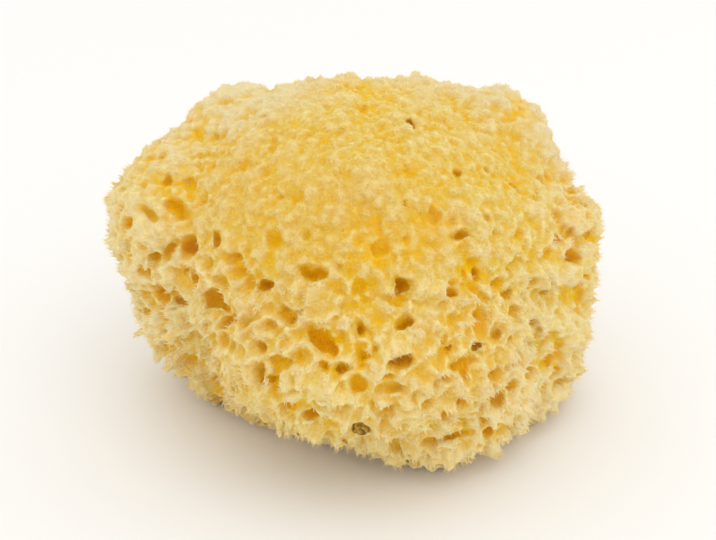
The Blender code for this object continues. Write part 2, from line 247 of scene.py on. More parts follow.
# Pores. Front ones: right of and above the sight line, width, height, turn in degrees, depth.
pores = {
    "main": [
        (-31.5, 37.5, 4.5, 3.9, 0, 2), (28, 26.5, 2.5, 2.5, 0, 4), (-53.5, 25, 2.8, 3.9, 0, 5),
        (-47, 23.5, 3.4, 3.4, 0, 4), (-42.5, 19.5, 2.5, 2.8, 0, 4), (-50.5, 17, 7.3, 3.9, -35, 8),
        (20.5, 15.5, 3.4, 4.5, 0, 7), (35.5, 14, 2.8, 2.5, 0, 4), (-64, 12.5, 4.5, 3.9, 0, 5),
        (29, 10, 5.1, 2.8, 20, 5), (-39.5, 9, 2.5, 3.9, 0, 9), (55, 8.5, 2.5, 3.1, 0, 7),
        (-46.5, 6.5, 5.1, 5.1, 0, 10), (-53, 5, 2.5, 5.6, -25, 7), (60, 4, 4.5, 3.7, 0, 7),
        (-57, 3.5, 4.5, 3.7, 0, 6), (-35, 3.5, 4.2, 4.8, 0, 7), (-33.5, -0.5, 3.9, 3.4, 0, 6),
        (-13, -1, 6.2, 3.9, 0, 8), (-45.5, -3, 4.2, 4.5, 0, 10), (-26, -4, 4.2, 2.5, 10, 10),
        (12, -5, 3.9, 3.9, 0, 11), (-54, -6, 3.9, 3.9, 0, 8), (26, -6.5, 3.9, 2.5, 0, 5),
        (-48.5, -8, 4.5, 2.8, 0, 3), (-40.5, -8, 5.6, 5.3, 0, 11), (-37, -10.5, 3.9, 2.5, 0, 9),
        (-35.5, -15, 6.2, 2.8, 0, 3), (13.5, -15, 5.1, 3.1, 35, 11), (-0.5, -17.5, 2.8, 2.8, 0, 5),
        (-36.5, -19.5, 4.5, 3.4, 0, 4), (-10.5, -20, 8.4, 3.9, -45, 12), (-5, -20, 2.8, 5.1, 10, 3),
        (-27.5, -21, 3.4, 2.8, 0, 6), (-8, -22, 3.9, 3.4, -30, 12), (54, -25, 6.7, 3.9, 20, 5),
        (-21.5, -25.5, 5.6, 3.4, 0, 3), (12, -25.5, 6.2, 2.5, 15, 11), (30, -25.5, 7.3, 2.5, 20, 8),
        (30.5, -28.5, 2.5, 5.1, 0, 6), (46.5, -28.5, 3.4, 2.8, 0, 6), (-23, -30.5, 2.8, 3.4, 0, 5),
        (-38, -32, 3.9, 2.8, 0, 5), (42.5, -32, 2.8, 2.8, 0, 6), (0, -32.5, 5.1, 4.5, 0, 6),
        (-34, -33, 3.4, 3.4, 0, 6), (9.5, -33, 7.3, 2.8, 0, 4), (38.5, -35.5, 4.2, 3.9, 0, 10),
        (-19, -37.5, 3.9, 2.8, 0, 6), (28, -37.5, 2.8, 3.9, 0, 4), (-27.5, -38, 6.2, 3.4, -10, 3),
        (-12.5, -40, 3.9, 2.8, 0, 5), (23.5, -41, 5.6, 3.9, 10, 6), (42, -42, 3.4, 2.8, 0, 6),
        (1, -44, 5.1, 5.1, 0, 6), (36.5, -44.5, 4.8, 4.8, 0, 9), (10, -46, 3.7, 3.4, 0, 7),
    ],
    "fine": [
        (0.5, 44.5, 2.2, 4.5, 0, 3), (-26, 41.5, 2.2, 2.2, 0, 3), (14.5, 40.5, 2.4, 3.4, 0, 11),
        (5.5, 36, 2.2, 2.2, 0, 3), (-23.5, 33.5, 1.7, 5.6, 0, 3), (-48.5, 32, 2.8, 1.7, 0, 2),
        (18.5, 31.5, 4.5, 2, -15, 3), (-55.5, 30.5, 3.4, 2.2, 0, 2), (35.5, 27.5, 2.2, 2.5, 0, 3),
        (-23.5, 26, 1.1, 1.1, 0, 5), (-62, 25.5, 1.7, 2.5, 0, 5), (1, 23.5, 2, 2.2, 0, 4),
        (-65, 21.5, 2.8, 2.2, 0, 4), (-20.5, 20, 1.4, 1.7, 0, 4), (49, 19.5, 2.5, 2, 0, 4),
        (12.5, 18.5, 2.8, 2.2, 0, 3), (-59, 16, 6.7, 2.2, -45, 6), (-5, 10.5, 1.4, 1.4, 0, 4),
        (58.5, 10.5, 2.8, 2.2, 0, 3), (64, 10.5, 2.2, 2.2, 0, 3), (-14, 10, 2.5, 2.5, 0, 3),
        (37.5, 10, 2.5, 2.2, 0, 3), (13.5, 8.5, 2.8, 2.2, 0, 3), (-6, 1, 2.5, 2.2, 0, 5),
        (-48.5, 0, 1.7, 1.4, 0, 4), (-59, 0, 3.9, 2.8, 0, 3), (32, -1.5, 2.2, 2.5, 0, 8),
        (60.5, -4.5, 2.8, 2.8, 0, 3), (-5.5, -5.5, 2, 1.7, 0, 5), (52.5, -6, 4.5, 2.2, 10, 5),
        (41, -6.5, 5.1, 2.2, 25, 7), (45, -6.5, 1.7, 1.7, 0, 4), (33, -8, 1.1, 2, 0, 4),
        (2, -8.5, 1.4, 2.2, 0, 4), (-20.5, -11, 3.4, 2.8, 0, 3), (-44.5, -12.5, 2.2, 3.4, 0, 6),
        (32.5, -12.5, 3.4, 2.2, 0, 3), (48, -14, 1.7, 1.7, 0, 4), (-17.5, -14.5, 2.2, 2.8, 0, 5),
        (-30.5, -15.5, 3.9, 1.7, 20, 5), (-53, -16, 2.5, 1.7, 0, 4), (-44.5, -17, 3.9, 2.2, 0, 3),
        (42, -19, 3.4, 1.7, 20, 5), (33, -21, 2.5, 1.7, 35, 9), (56, -21, 3.4, 1.7, 0, 3),
        (5, -21.5, 2.2, 1.4, 0, 4), (24.5, -22, 3.9, 1.1, 45, 5), (1.5, -23.5, 3.9, 2.2, 0, 9),
        (45.5, -24, 2.5, 1.4, 0, 4), (-46.5, -25, 3.4, 2.5, 0, 3), (59.5, -25.5, 2.2, 2.2, 0, 4),
        (1.5, -26.5, 2, 3.9, 0, 5), (-9, -27, 2.8, 1.4, -30, 6), (-4, -27.5, 3.9, 2.2, 10, 10),
        (-27.5, -29, 2.2, 5.6, 0, 7), (24, -29.5, 2.2, 1.7, 0, 3), (-39.5, -30, 2.2, 2.2, 0, 5),
        (-24.5, -38, 2.8, 2.2, 0, 5), (-5, -38, 3.9, 2.8, 0, 3), (48, -38, 2.2, 2.2, 0, 5),
        (8.5, -39, 3.4, 2.2, 0, 3), (29.5, -42.5, 1.4, 2.2, 0, 6), (15.5, -45.5, 1.7, 1.7, 0, 4),
        (28, -46, 11.2, 2.2, 6, 5), (21, -51, 3.4, 1.1, 0, 4), (31, -53, 2.2, 1.7, 0, 3),
    ],
    "seed": 7,
    # a scatter over the coarse skin that the front list leaves, cast from round the middle
    "middle": (0, 5, 45), "castFrom": 200, "stretch": (0.75, 1.2), "lean": 0.35, "lowest": 4,
    "large": {"tries": 6000, "spacing": 9.8, "widths": (3.0, 5.0), "depths": (5, 10)},
    # small ones between them, past what the solid holds
    "small": {"tries": 16000, "spacing": 5.2, "widths": (1.4, 2.6), "depths": (2.5, 5)},
    "facing": 0.25,  # cosine to the sight line past which the front list has them all
    "frontDepth": 0.3,  # share of its depth that a scattered pore keeps among the front ones
    "feltFill": 4.0,  # depth that the felt takes from the pores in it
    # canals laid open by the flat cut, clear of its rim and of the land at the resting point
    "canalSpacing": 12, "canalJitter": 3.5, "canalWidth": (3.0, 6.5), "canalDepth": (6, 11),
    "canalRows": 5, "canalRim": 5, "restPoint": (4, 8), "restLand": 8,
}
felt = {"from": 60, "full": 76}  # heights where the fine felt of the top starts and is full


def feltShare(place):
    return min(max((place.z / mm - felt["from"]) / (felt["full"] - felt["from"]), 0.0), 1.0)


def seenPores(surface, listed):
    # each listed pore, where its sight line meets the skin
    _, _, right, _ = sightFrame()
    found = []
    for across, above, width, height, turn, depth in listed:
        place, normal, ray = seenOn(surface, across, above)
        if place is None:
            continue
        depth -= pores["feltFill"] * feltShare(place)
        axis = (ray - normal).normalized()
        side = (right - axis * right.dot(axis)).normalized()
        side.rotate(Matrix.Rotation(-math.radians(turn), 3, axis))
        found.append((place, axis, side, Vector((width, height, depth)) * mm))
    return found


def randomSize(rng, widths, depths):
    width = rng.uniform(*widths)
    return width, rng.uniform(*pores["stretch"]) * width, rng.uniform(*depths)


def scatteredPores(surface, taken, rng, tries, spacing, widths, depths, unseenOnly=False):
    # a seeded scatter over the coarse skin, clear of the pores in taken
    middle = Vector(pores["middle"]) * mm
    _, eye, _, _ = sightFrame()
    places = [pore[0] for pore in taken]
    found = []
    for _ in range(tries):
        ray = Vector([rng.gauss(0, 1) for _ in range(3)]).normalized()
        lean = Vector([rng.uniform(-1, 1) for _ in range(3)])
        width, height, depth = randomSize(rng, widths, depths)
        place, normal, _, _ = surface.ray_cast(middle + ray * pores["castFrom"] * mm, -ray)
        if place is None or place.z < pores["lowest"] * mm or rng.random() < feltShare(place):
            continue
        if any((place - other).length < spacing * mm for other in places):
            continue
        if normal.dot((eye - place).normalized()) > pores["facing"]:
            if unseenOnly:
                continue
            depth *= pores["frontDepth"]
        axis = (lean * pores["lean"] - normal).normalized()
        found.append((place, axis, axis.orthogonal().normalized(), Vector((width, height, depth)) * mm))
        places.append(place)
    return found


def baseCanals(surface, rng):
    # the canals of the flat cut that fall inside its outline
    rest = Vector((*pores["restPoint"], 0)) * mm
    cells = range(-pores["canalRows"], pores["canalRows"] + 1)
    jitter = pores["canalJitter"]
    found = []
    for cell in ((i, j) for i in cells for j in cells):
        x, y = (part * pores["canalSpacing"] + rng.uniform(-jitter, jitter) for part in cell)
        size = Vector(randomSize(rng, pores["canalWidth"], pores["canalDepth"])) * mm
        axis = Vector((rng.uniform(-1, 1), rng.uniform(-1, 1), 3)).normalized()
        place = Vector((x, y, 0)) * mm
        probe = place + Vector((0, 0, pores["canalRim"])) * mm
        skin, normal, _, far = surface.find_nearest(probe)
        outside = (probe - skin).dot(normal) > 0
        if outside or far < pores["canalRim"] * mm or (place - rest).length < pores["restLand"] * mm:
            continue
        found.append((place, axis, axis.orthogonal().normalized(), size))
    return found


# Bores: one turned funnel, put at every pore; shares of its length against shares of its width.
bore = {
    "depthShare": 0.38,  # thin walls let light in, so a bore looks less deep than it is
    "widthShare": 0.78,
    "profile": [(0.0, 1.0), (0.35, 0.86), (0.6, 0.74), (0.85, 0.56), (1.0, 0.2)],
    "grid": 0.5,
}
boreShape = {
    "Start": 5.0 * mm,  # it begins this far above the skin
    "Sides": 12, "Steps": 7,
    "Bend Size": 7.0 * mm, "Bend": 3.6 * mm, "Ragged Size": 3.0 * mm, "Ragged": 3.8 * mm,  # side to side
}


def noiseVector(add, size, amount, seed=0.0):
    # a smooth random vector, up to half the amount on each axis, that changes over the size
    shifted = add("ShaderNodeVectorMath", add("GeometryNodeInputPosition"), (seed, seed, seed))
    scale = add("ShaderNodeMath", 1.0, size, operation="DIVIDE")
    wave = add("ShaderNodeTexNoise", shifted, {"Scale": scale, "Detail": 1.0})
    centred = add("ShaderNodeVectorMath", (wave, "Color"), (0.5, 0.5, 0.5), operation="SUBTRACT")
    return add("ShaderNodeVectorMath", centred, {"Scale": amount}, operation="SCALE")


def boreTree():
    tree, add, given = newTree("Bores", boreShape)
    axis, side, size = (
        add("GeometryNodeInputNamedAttribute", name, data_type="FLOAT_VECTOR")
        for name in ("axis", "side", "size"))
    turned = add("FunctionNodeAxesToRotation", axis, side)
    # the funnel, one long and about one wide
    tube = add("GeometryNodeMeshCylinder", (given, "Sides"), (given, "Steps"), {"Depth": 1.0})
    place = add("GeometryNodeInputPosition")
    along = add("ShaderNodeSeparateXYZ", place)
    share = add("ShaderNodeMath", (along, "Z"), 0.5)
    curve = add("ShaderNodeFloatCurve", {"Value": share})
    line = curve.mapping.curves[0]
    while len(line.points) < len(bore["profile"]):
        line.points.new(0.5, 0.5)
    for point, (where, width) in zip(line.points, bore["profile"]):
        point.location = (where, width)
    curve.mapping.update()
    flat = add("ShaderNodeVectorMath", place, (1, 1, 0), operation="MULTIPLY")
    wide = add("ShaderNodeVectorMath", flat, {"Scale": curve}, operation="SCALE")
    high = add("ShaderNodeCombineXYZ", {"Z": share})
    shaped = add("ShaderNodeVectorMath", wide, high)
    funnel = add("GeometryNodeSetPosition", tube, {"Position": shaped})
    # each point goes back above the skin, and its funnel grows by as much
    back = add("ShaderNodeMath", (given, "Start"), -1.0, operation="MULTIPLY")
    lift = add("ShaderNodeVectorMath", axis, {"Scale": back}, operation="SCALE")
    starts = add("GeometryNodeSetPosition", given, {"Offset": lift})
    extra = add("ShaderNodeCombineXYZ", {"Z": (given, "Start")})
    length = add("ShaderNodeVectorMath", size, extra)
    placed = add("GeometryNodeInstanceOnPoints", starts, {
        "Instance": funnel, "Rotation": turned, "Scale": length})
    solid = add("GeometryNodeRealizeInstances", placed)
    # then all of them are bent and roughened together
    bent = noiseVector(add, (given, "Bend Size"), (given, "Bend"))
    ragged = noiseVector(add, (given, "Ragged Size"), (given, "Ragged"), seed=0.3)
    both = add("ShaderNodeVectorMath", bent, ragged)
    return endTree(tree, add("GeometryNodeSetPosition", solid, {"Offset": both}))


def makeBores(allPores):
    # all the funnels as one closed guide, fused where they run together
    shares = Vector((bore["widthShare"], bore["widthShare"], bore["depthShare"]))
    places, axes, sides, sizes = zip(*allPores)
    item = putInScene("bores", pointMesh(
        "bores", places, {"axis": axes, "side": sides, "size": [size * shares for size in sizes]}))
    useTree(item, boreTree(), boreShape)
    addModifier(item, "REMESH", mode="VOXEL", voxel_size=bore["grid"] * mm)
    return putInScene("boreGuide", finalMesh(item))


# Skin: the walls between the pores rise to crests and peaks, and the top is a fine felt.
skin = {"grid": 0.6, "cutGrid": 0.55, "faces": 208500}
relief = {
    "Reach": 1.5 * mm, "Pore Reach": 0.8 * mm, "Ridge Height": 2.5 * mm,
    "Bowl Size": 6.2 * mm, "Bowl Least": 0.7 * mm, "Bowl Most": 2.0 * mm,  # blind bowls between the pores
    "Warp Size": 5.0 * mm, "Warp": 3.2 * mm,  # how far the bowls are pulled out of round, side to side
    "Peak Size": 2.8 * mm, "Peaks": 0.4,  # how unevenly the crests stand up
    "Felt From": felt["from"] * mm, "Felt Full": felt["full"] * mm,
    "Felt Lift": 0.72, "Felt Depth": 0.12,  # shares of a crest's height on the top, for level and bowls
    "Tuft Size": 3.6 * mm, "Tuft Height": 0.9 * mm,
    "Tuft Low": 0.28, "Tuft High": 0.72,  # of the noise, where a tuft is lowest and highest
    "Knot Size": 2.4 * mm, "Knot Height": 0.7 * mm, "Knots Off": 0.25,  # share of the knots off the felt
    "Knot Top": 0.1, "Knot Edge": 0.75,  # shares of a knot's size, out from its middle
    "Lean Size": 5.5 * mm, "Lean": 1.7, "Droop": 0.25,  # crests lean every way, and hang a little
    "Foot": 12.0 * mm, "Foot Relief": 0.45,  # below this height the relief falls to this share at the cut
}
roughness = {"Size": 1.2 * mm, "Amount": 0.5 * mm}  # of every wall, in the pores too
lipSteps = 5  # steps of blurring that a lip is measured against
noiseSpan = (0.3, 0.7)  # nearly all of a noise lies between these


def reliefTree():
    tree, add, given = newTree("Relief", {"Bores": "Object", **relief})
    frequency = {
        name: add("ShaderNodeMath", 1.0, (given, name + " Size"), operation="DIVIDE")
        for name in ("Bowl", "Peak", "Tuft", "Knot")}
    place = add("GeometryNodeInputPosition")
    normal = add("GeometryNodeInputNormal")
    # low beside a pore and in a blind bowl, high between them
    guide = add("GeometryNodeObjectInfo", (given, "Bores"))
    near = add("GeometryNodeProximity", (guide, "Geometry"), {"Sample Position": place})
    warp = noiseVector(add, (given, "Warp Size"), (given, "Warp"), seed=0.4)
    warped = add("ShaderNodeVectorMath", place, warp)
    cells = add("ShaderNodeTexVoronoi", warped, {"Scale": frequency["Bowl"]})
    toBowl = add("ShaderNodeMath", cells, (given, "Bowl Size"), operation="MULTIPLY")
    lot = add("ShaderNodeSeparateXYZ", (cells, "Color"))
    floor = add("ShaderNodeMapRange", (lot, "X"), {
        "To Min": (given, "Bowl Least"), "To Max": (given, "Bowl Most")})
    toRim = add("ShaderNodeMath", toBowl, floor, operation="SUBTRACT")
    atBowl = add("ShaderNodeMapRange", toRim, {"From Max": (given, "Reach")})
    atPore = add("ShaderNodeMapRange", (near, "Distance"), {"From Max": (given, "Pore Reach")})
    sharp = add("ShaderNodeMath", atBowl, atPore, operation="MINIMUM")
    # crests stand up unevenly, in peaks
    peak = add("ShaderNodeTexNoise", place, {"Scale": frequency["Peak"], "Detail": 0.0})
    low = add("ShaderNodeMath", 1.0, (given, "Peaks"), operation="SUBTRACT")
    high = add("ShaderNodeMath", 1.0, (given, "Peaks"))
    uneven = add("ShaderNodeMapRange", peak, *noiseSpan, low, high, clamp=False)
    crest = add("ShaderNodeMath", sharp, uneven, operation="MULTIPLY")
    # near the cut the crests are low and upright
    height = add("ShaderNodeSeparateXYZ", place)
    offFoot = add("ShaderNodeMapRange", (height, "Z"), {"From Max": (given, "Foot")})
    kept = add("ShaderNodeMapRange", offFoot, {"To Min": (given, "Foot Relief")})
    crest = add("ShaderNodeMath", crest, kept, operation="MULTIPLY")
    top = add("ShaderNodeMapRange", (height, "Z"), (given, "Felt From"), (given, "Felt Full"))
    felted = add(
        "ShaderNodeMath", crest, (given, "Felt Depth"), (given, "Felt Lift"), operation="MULTIPLY_ADD")
    wall = add("ShaderNodeMix", top, {"A": crest, "B": felted})
    total = add("ShaderNodeMath", wall, (given, "Ridge Height"), operation="MULTIPLY")
    # wide tufts and small round knots, both from -1 to 1, the knots mostly on the felt
    knotShare = add("ShaderNodeMix", top, {"A": (given, "Knots Off"), "B": 1.0})
    wave = add("ShaderNodeTexNoise", place, {"Scale": frequency["Tuft"], "Roughness": 0.6})
    tuft = add(
        "ShaderNodeMapRange", wave, (given, "Tuft Low"), (given, "Tuft High"), -1.0, 1.0, clamp=False)
    total = add("ShaderNodeMath", tuft, (given, "Tuft Height"), total, operation="MULTIPLY_ADD")
    knots = add("ShaderNodeTexVoronoi", warped, {"Scale": frequency["Knot"]})
    knot = add("ShaderNodeMapRange", knots, (given, "Knot Top"), (given, "Knot Edge"), 1.0, -1.0)
    knot = add("ShaderNodeMath", knot, (given, "Knot Height"), operation="MULTIPLY")
    total = add("ShaderNodeMath", knot, knotShare, total, operation="MULTIPLY_ADD")
    # crests off the felt lean over, each stretch its own way, and all of them a little down
    lean = noiseVector(add, (given, "Lean Size"), (given, "Lean"), seed=0.7)
    sag = add("ShaderNodeVectorMath", (0, 0, -1), {"Scale": (given, "Droop")}, operation="SCALE")
    pulled = add("ShaderNodeVectorMath", lean, sag)
    leant = add("ShaderNodeVectorMath", normal, pulled)
    offTop = add("ShaderNodeMath", 1.0, top, operation="SUBTRACT")
    leaning = add("ShaderNodeMath", sharp, offTop, operation="MULTIPLY")
    leaning = add("ShaderNodeMath", leaning, offFoot, operation="MULTIPLY")
    onCrest = add("ShaderNodeMix", leaning, {"A": normal, "B": leant}, data_type="VECTOR")
    move = add("ShaderNodeVectorMath", onCrest, {"Scale": total}, operation="SCALE")
    return endTree(tree, add("GeometryNodeSetPosition", given, {"Offset": move}))


def roughTree():
    tree, add, given = newTree("Roughness", roughness)
    move = noiseVector(add, (given, "Size"), (given, "Amount"), seed=1.1)
    return endTree(tree, add("GeometryNodeSetPosition", given, {"Offset": move}))


def crumbTree():
    # keeps the largest body and drops the crumbs that the bores cut loose
    tree, add, given = newTree("Crumbs", {})
    island = add("GeometryNodeInputMeshIsland")
    count = add("GeometryNodeAccumulateField", 1, island, data_type="INT")
    most = add("GeometryNodeAttributeStatistic", given, {"Attribute": (count, "Total")})
    small = add("FunctionNodeCompare", (count, "Total"), (most, "Max"), operation="LESS_THAN")
    return endTree(tree, add("GeometryNodeDeleteGeometry", given, small))


def measureTree():
    # what the colours follow: mm under the envelope, mm over the surface round it, and share of felt
    tree, add, given = newTree("Measure", {
        "Envelope": "Object", "Felt From": "Float", "Felt Full": "Float"})
    place = add("GeometryNodeInputPosition")
    outer = add("GeometryNodeObjectInfo", (given, "Envelope"))
    near = add("GeometryNodeProximity", (outer, "Geometry"), {"Sample Position": place})
    depth = add("ShaderNodeMath", (near, "Distance"), 1 / mm, operation="MULTIPLY")
    around = add("GeometryNodeBlurAttribute", place, {"Iterations": lipSteps}, data_type="FLOAT_VECTOR")
    off = add("ShaderNodeVectorMath", place, around, operation="SUBTRACT")
    proud = add("ShaderNodeVectorMath", off, add("GeometryNodeInputNormal"), operation="DOT_PRODUCT")
    lip = add("ShaderNodeMath", proud, 1 / mm, operation="MULTIPLY")
    height = add("ShaderNodeSeparateXYZ", place)
    top = add("ShaderNodeMapRange", (height, "Z"), (given, "Felt From"), (given, "Felt Full"))
    stored = given
    for name, value in (("depth", depth), ("lip", lip), ("felt", top)):
        stored = add("GeometryNodeStoreNamedAttribute", stored, {"Name": name, "Value": value})
    return endTree(tree, stored)


def spaceAboveCut():
    # a block that holds all of the sponge over the flat cut
    side, high = 0.3, 0.2  # metres
    place = Matrix.Translation((0, 0, high / 2)) @ Matrix.Diagonal((side, side, high, 1))
    mesh = shapeMesh("spaceAboveCut", bmesh.ops.create_cube, size=1, matrix=place)
    return putInScene("spaceAboveCut", mesh)


def makeSkeleton():
    envelope = putInScene("envelope", growEnvelope())
    body = makeLumpy(envelope.data.copy())
    surface = surfaceOf(body)
    rng = random.Random(pores["seed"])
    mainPores = seenPores(surface, pores["main"])
    mainPores += scatteredPores(surface, mainPores, rng, **pores["large"])
    canals = baseCanals(surface, rng)
    finePores = seenPores(surface, pores["fine"])
    finePores += scatteredPores(
        surface, mainPores + finePores, rng, unseenOnly=True, **pores["small"])
    tell(f"{len(mainPores)} large pores, {len(finePores)} small ones and {len(canals)} canals placed")

    guide = makeBores(mainPores + finePores + canals)
    tell(f"bores fused, {len(guide.data.polygons)} faces")
    item = putInScene("spongeSkeleton", body)
    addModifier(item, "REMESH", mode="VOXEL", voxel_size=skin["grid"] * mm)
    useTree(item, reliefTree(), {"Bores": guide, **relief})
    # Manifold, because both meshes are closed and have hundreds of thousands of faces
    addModifier(item, "BOOLEAN", operation="DIFFERENCE", solver="MANIFOLD", object=guide)
    addModifier(item, "REMESH", mode="VOXEL", voxel_size=skin["cutGrid"] * mm)
    useTree(item, roughTree(), roughness)
    crumbs = crumbTree()
    useTree(item, crumbs, {})
    cut = finalMesh(item)
    bpy.data.objects.remove(guide)
    triangles = countTriangles(cut)
    tell(f"skin raised and cut, {triangles} triangles")

    item = putInScene("spongeSkeleton", cut)
    addModifier(item, "DECIMATE", ratio=skin["faces"] / triangles)
    block = spaceAboveCut()
    addModifier(item, "BOOLEAN", operation="INTERSECT", solver="MANIFOLD", object=block)
    useTree(item, crumbs, {})
    useTree(item, measureTree(), {"Envelope": envelope, **relief})
    mesh = finalMesh(item)
    bpy.data.objects.remove(block)
    bpy.data.objects.remove(envelope)
    mesh.shade_smooth()
    tell(f"skeleton thinned to {countTriangles(mesh)} triangles")
    return putInScene("spongeSkeleton", mesh)


# Crumbs of grit and bark: right of and above the sight line, radius.
grit = {
    "facing": 0.5,  # share of the radius by which a crumb stands out
    "crumbs": [
        (0.2, -43.2, 1.7), (2.0, -43.6, 1.5), (0.9, -45.0, 1.6), (-0.5, -44.8, 1.1), (2.5, -44.8, 1.0),
        (-3.9, -48.1, 0.55), (-3.3, -48.4, 0.4), (-26.1, -43.3, 0.45), (-25.3, -43.8, 0.3),
        (-16.9, -46.1, 0.4), (14.0, -53.6, 0.6), (15.1, -53.3, 0.4), (-31.0, -40.6, 0.35),
    ],
}
gritShape = {"Rough Size": 1.1 * mm, "Rough": 0.5 * mm, "Flat": 0.8}


def gritTree():
    tree, add, given = newTree("Grit", {**gritShape, "Material": "Material"})
    size = add("GeometryNodeInputNamedAttribute", "size", data_type="FLOAT_VECTOR")
    crumb = add("GeometryNodeMeshIcoSphere", {"Subdivisions": 4})
    turn = add("FunctionNodeRandomValue", (0, 0, 0), (math.tau,) * 3, {
        "Seed": 2}, data_type="FLOAT_VECTOR")
    spin = add("FunctionNodeEulerToRotation", turn)
    thin = add("ShaderNodeCombineXYZ", 1.0, 1.0, (given, "Flat"))
    scale = add("ShaderNodeVectorMath", size, thin, operation="MULTIPLY")
    placed = add("GeometryNodeInstanceOnPoints", given, {
        "Instance": crumb, "Rotation": spin, "Scale": scale})
    solid = add("GeometryNodeRealizeInstances", placed)
    move = noiseVector(add, (given, "Rough Size"), (given, "Rough"), seed=3.1)
    rough = add("GeometryNodeSetPosition", solid, {"Offset": move})
    return endTree(tree, add("GeometryNodeSetMaterial", rough, {"Material": (given, "Material")}))


def makeGrit(skeleton, material):
    # crumbs lodged in the front of the foot, where their sight lines meet the finished skin
    surface = surfaceOf(skeleton.data)
    places, sizes = [], []
    for across, above, radius in grit["crumbs"]:
        place, _, ray = seenOn(surface, across, above)
        if place is None:
            continue
        place -= ray * radius * grit["facing"] * mm
        if place.z > radius * mm:
            places.append(place)
            sizes.append((radius * mm,) * 3)
    item = putInScene("grit", pointMesh("grit", places, {"size": sizes}))
    useTree(item, gritTree(), {**gritShape, "Material": material})
    mesh = finalMesh(item)
    mesh.shade_smooth()
    tell(f"grit: {len(places)} crumbs")
    return putInScene("grit", mesh)


# Fibres: closed spikes that lean together in clumps. Short fuzz lies on the felt, and wisps and flat
# ragged tongues stand on the crests.
fuzz = {
    "Density": 8.0 / mm ** 2, "Most": 26000,  # as many as its share of triangles allows
    "Shortest": 0.4 * mm, "Longest": 0.9 * mm, "Thinnest": 0.06 * mm, "Thickest": 0.11 * mm, "Flat": 1.0,
    "Segments": 1, "Bend": 0.0, "Stand": 0.6, "Out": 0.3,  # along the normal, and away from the middle
    "Lean": 3.0, "Clump Size": 3.5 * mm, "Stray": 0.25,  # aside together, and each its own way
    "Lip From": -0.2, "Lip Full": 0.3, "Deepest": 4.0,  # mm
    "Top": True, "Off Top": False,
}
wisps = {
    **fuzz, "Most": 2000, "Shortest": 0.8 * mm, "Longest": 2.3 * mm, "Thinnest": 0.07 * mm,
    "Segments": 3, "Bend": 0.5, "Stand": 0.15, "Out": 0.7,
    "Lean": 2.6, "Clump Size": 6.0 * mm, "Stray": 0.12,
    "Lip From": 0.2, "Lip Full": 0.5, "Top": False, "Off Top": True,
}
tongues = {
    **wisps, "Density": 6.0 / mm ** 2, "Most": 9000,
    "Shortest": 0.7 * mm, "Longest": 1.7 * mm, "Thinnest": 0.2 * mm, "Thickest": 0.42 * mm, "Flat": 0.35,
    "Bend": 0.3, "Stray": 0.08, "Lip From": 0.18, "Lip Full": 0.4, "Deepest": 4.5,
}
everyFibre = {
    "Middle": (0.0, 5 * mm, 40 * mm),  # where the sponge grew out from
    "Sink": 0.12,  # share of a fibre that stands in the skin
    "Lowest": 5.0 * mm,  # the washed rim of the cut is bare
    "Sector": -1, "Seed": 11,  # the quarter round the middle, or -1 for all of it
    "Lip Short": -0.2, "Lip Long": 0.45,  # mm that a crest stands out by where fibres are short and long
    "Less": -0.4, "More": 0.5,  # share of that range by which a fibre's own length differs
}
sectors = ["Right", "Back", "Left", "Front"]


